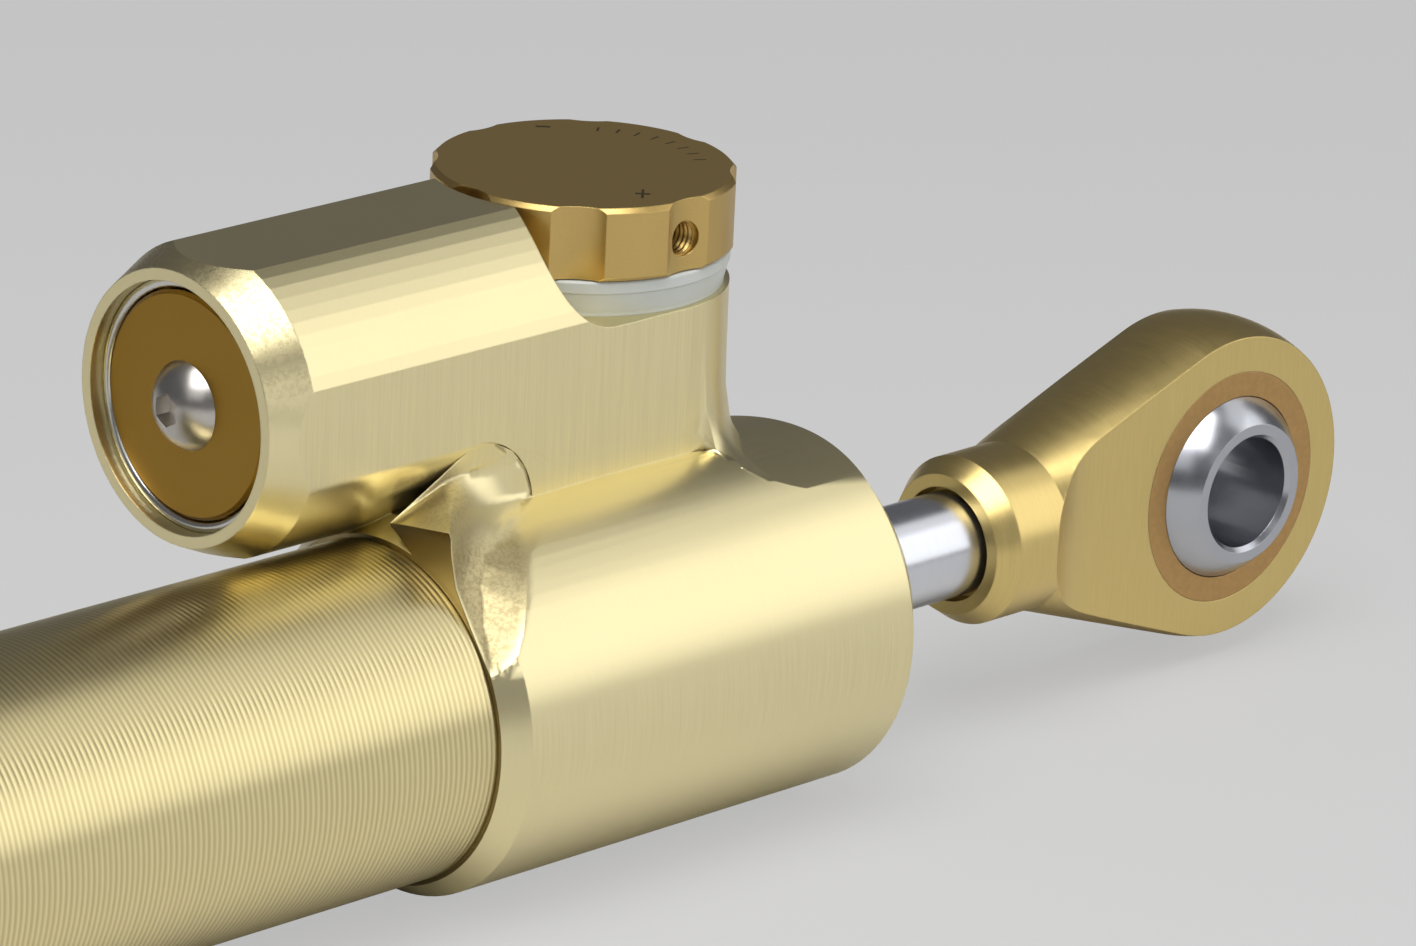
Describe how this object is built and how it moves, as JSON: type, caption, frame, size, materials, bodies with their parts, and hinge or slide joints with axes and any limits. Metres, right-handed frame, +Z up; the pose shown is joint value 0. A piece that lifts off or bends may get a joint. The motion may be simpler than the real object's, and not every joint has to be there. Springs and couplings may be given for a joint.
{
  "type": "motorcycle steering damper",
  "caption": "Telescopic steering damper with a clamp-on tube, a side reservoir, an adjuster knob and a spherical rod end.",
  "frame": {"origin": "on the tube's axis, in the middle of its free length, where the frame clamp sits", "axes": "+X along the rod towards the rod end, +Z up along the knob's axis, +Y to the side on which the reservoir is offset"},
  "size_m": [0.219, 0.039, 0.054],
  "materials": {
    "grooved_gold": "pale gold anodised aluminium, fine turned grooves round the tube",
    "pale_gold": "pale gold anodised aluminium, brushed on the flats and satin on the turned faces",
    "deep_gold": "deep gold anodised aluminium, satin",
    "orange_gold": "orange gold anodised aluminium, flat and satin",
    "rod_end_gold": "gold anodised aluminium, fine turned",
    "hard_chrome": "ground and hard chromed",
    "polished_steel": "polished steel",
    "spring_wire": "bright spring wire",
    "steel": "turned steel",
    "dark_steel": "black oxide steel",
    "aluminium": "plain turned aluminium",
    "bronze": "sintered bronze",
    "brass": "turned brass",
    "bronze_plastic": "bronze filled plastic",
    "grey_plastic": "pale grey moulded plastic",
    "black_rubber": "black nitrile rubber, matt"
  },
  "bodies": {
    "housing": {"damper_tube": "grooved_gold", "tube_end_cap": "deep_gold", "end_cap_o_ring": "black_rubber", "head_o_ring": "black_rubber", "head_block": "pale_gold", "rod_guide_bush": "bronze", "rod_seal": "black_rubber", "seal_backing_washer": "steel", "rod_wiper": "black_rubber", "gland_circlip": "dark_steel", "reservoir_cap": "orange_gold", "cap_o_ring": "black_rubber", "cap_retaining_ring": "spring_wire", "cap_fill_screw": "polished_steel", "valve_gland": "steel", "gland_o_ring": "black_rubber", "valve_seat": "brass", "knob_seal_ring": "grey_plastic"},
    "glide_band": {"piston_glide_band": "bronze_plastic"},
    "rod": {"piston_rod": "hard_chrome", "piston": "aluminium", "rebound_shims": "steel", "compression_shims": "steel", "piston_nut": "dark_steel", "bump_stop": "black_rubber", "rod_end_body": "rod_end_gold", "bearing_race": "bronze"},
    "ball": {"swivel_ball": "polished_steel"},
    "knob": {"damping_knob": "deep_gold", "knob_grub_screw": "dark_steel", "adjuster_spindle": "steel", "spindle_o_ring": "black_rubber", "detent_plunger": "steel", "detent_ball": "polished_steel"},
    "needle": {"metering_needle": "steel"},
    "floating_piston": {"floating_piston": "aluminium", "floating_piston_o_ring": "black_rubber"}
  },
  "joints": [
    {"name": "rod_slide", "type": "slide", "parent": "housing", "child": "glide_band", "axis": [1, 0, 0], "range_m": [-0.008, 0.067]},
    {"name": "rod_spin", "type": "hinge", "parent": "glide_band", "child": "rod", "pos_m": [0, 0, 0], "axis": [1, 0, 0], "range_deg": [-180, 180]},
    {"name": "ball_swivel", "type": "hinge", "parent": "rod", "child": "ball", "pos_m": [0.1485, 0, 0], "axis": [0, 0, 1], "range_deg": [-12, 12]},
    {"name": "knob_turn", "type": "hinge", "parent": "housing", "child": "knob", "pos_m": [0.0825, 0.0104, 0.03], "axis": [0, 0, 1], "range_deg": [-150, 150]},
    {"name": "needle_lift", "type": "slide", "parent": "housing", "child": "needle", "axis": [0, 0, 1], "range_m": [-0.0004, 0.0004]},
    {"name": "floating_piston_slide", "type": "slide", "parent": "housing", "child": "floating_piston", "axis": [1, 0, 0], "range_m": [-0.0017, 0.0135]}
  ],
  "couplings": [
    {"joint": "needle_lift", "follows": "knob_turn", "m_per_rad": 0.00012732},
    {"joint": "floating_piston_slide", "follows": "rod_slide", "ratio": 0.19564}
  ]
}
